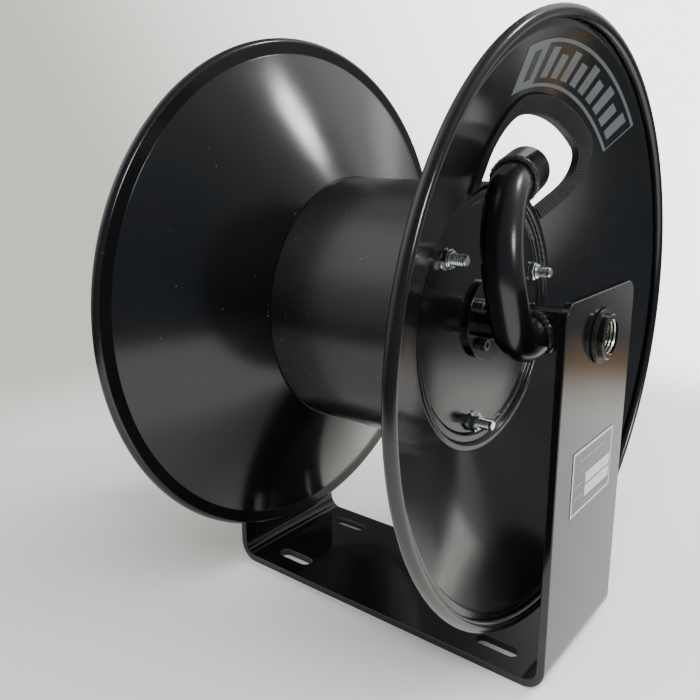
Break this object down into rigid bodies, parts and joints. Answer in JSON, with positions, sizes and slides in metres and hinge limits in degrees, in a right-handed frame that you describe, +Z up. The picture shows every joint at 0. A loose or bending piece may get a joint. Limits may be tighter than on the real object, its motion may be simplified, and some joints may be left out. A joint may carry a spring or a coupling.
{
  "type": "hand-crank hose reel",
  "caption": "Fixed-mount hand-crank hose reel: stamped discs on a drum in a bent plate bracket, with a pipe riser to a threaded outlet.",
  "frame": {"origin": "centre of the underside of the bracket's base plate, which is the face that rests on the floor or bench", "axes": "+X along the reel axis from the crank to the fluid inlet, -Y towards the front, +Z up"},
  "size_m": [0.3607, 0.34, 0.3676],
  "materials": {
    "black_bracket": "glossy black powder coat",
    "black_disc": "glossy black powder coat",
    "black_drum": "glossy black powder coat",
    "bushing": "moulded bearing plastic",
    "label": null,
    "decal": null,
    "zinc_rod": "bright zinc plate",
    "zinc_nut": "bright zinc plate",
    "zinc_washer": "bright zinc plate",
    "painted_shaft": "glossy black paint",
    "painted_hub": "glossy black paint",
    "dark_screw": "black oxide",
    "spring_steel": "dark phosphate",
    "painted_pipe": "glossy black paint on bent pipe",
    "painted_coupling": "glossy black paint on a welded coupling",
    "trim_rubber": "black edging rubber",
    "black_crank": "glossy black powder coat",
    "bolt_steel": "zinc plate",
    "grip_plastic": "moulded black plastic"
  },
  "bodies": {
    "bracket": {"base_bracket": "black_bracket", "inlet_bushing": "bushing", "crank_bushing": "bushing", "data_label": "label"},
    "reel": {"inlet_disc": "black_disc", "crank_disc": "black_disc", "drum": "black_drum", "disc_decal": "decal", "tie_rods": "zinc_rod", "inlet_lock_nuts": "zinc_nut", "crank_lock_nuts": "zinc_nut", "inlet_hub_nuts": "zinc_nut", "crank_hub_nuts": "zinc_nut", "grip_nut": "zinc_nut", "inlet_tooth_washers": "zinc_washer", "crank_tooth_washers": "zinc_washer", "grip_washer": "zinc_washer", "inlet_shaft": "painted_shaft", "crank_shaft": "painted_shaft", "inlet_hub_plate": "painted_hub", "crank_hub_plate": "painted_hub", "inlet_hub_screws": "dark_screw", "crank_hub_screws": "dark_screw", "crank_set_screw": "dark_screw", "inlet_retaining_ring": "spring_steel", "crank_retaining_ring": "spring_steel", "gooseneck": "painted_pipe", "outlet_coupling": "painted_coupling", "edge_trim": "trim_rubber", "crank_arm": "black_crank", "grip_bolt": "bolt_steel"},
    "grip": {"crank_grip": "grip_plastic"}
  },
  "joints": [
    {"name": "reel_spin", "type": "hinge", "parent": "bracket", "child": "reel", "pos_m": [0, 0, 0.1976], "axis": [1, 0, 0], "continuous": true},
    {"name": "grip_spin", "type": "hinge", "parent": "reel", "child": "grip", "pos_m": [-0.19, 0.0313, 0.07658], "axis": [1, 0, 0], "continuous": true}
  ]
}
